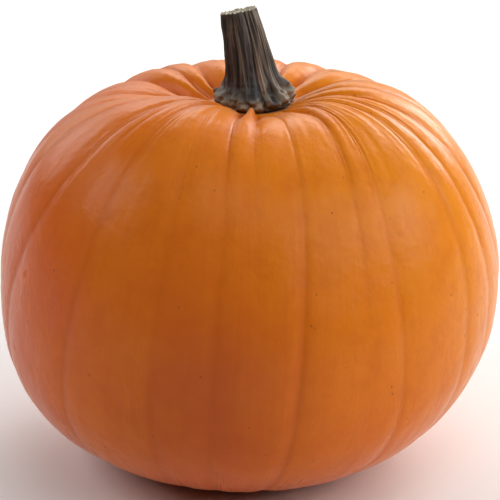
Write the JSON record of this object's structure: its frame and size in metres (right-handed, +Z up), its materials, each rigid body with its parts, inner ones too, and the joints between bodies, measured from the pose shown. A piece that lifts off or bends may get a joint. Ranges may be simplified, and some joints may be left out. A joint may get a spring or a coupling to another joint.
{
  "type": "pumpkin",
  "caption": "Ripe orange field pumpkin as picked, with uneven ribs, a sunken crown and a dry woody stem.",
  "frame": {"origin": "on the ground below the middle of the fruit", "axes": "+Z up along the stem, -Y towards the front of the fruit, +X to its right"},
  "size_m": [0.3022, 0.3044, 0.2789],
  "materials": {
    "rind": "satin",
    "stem_wood": "rough"
  },
  "bodies": {
    "root": {"fruit": "rind", "stem": "stem_wood"}
  },
  "joints": []
}
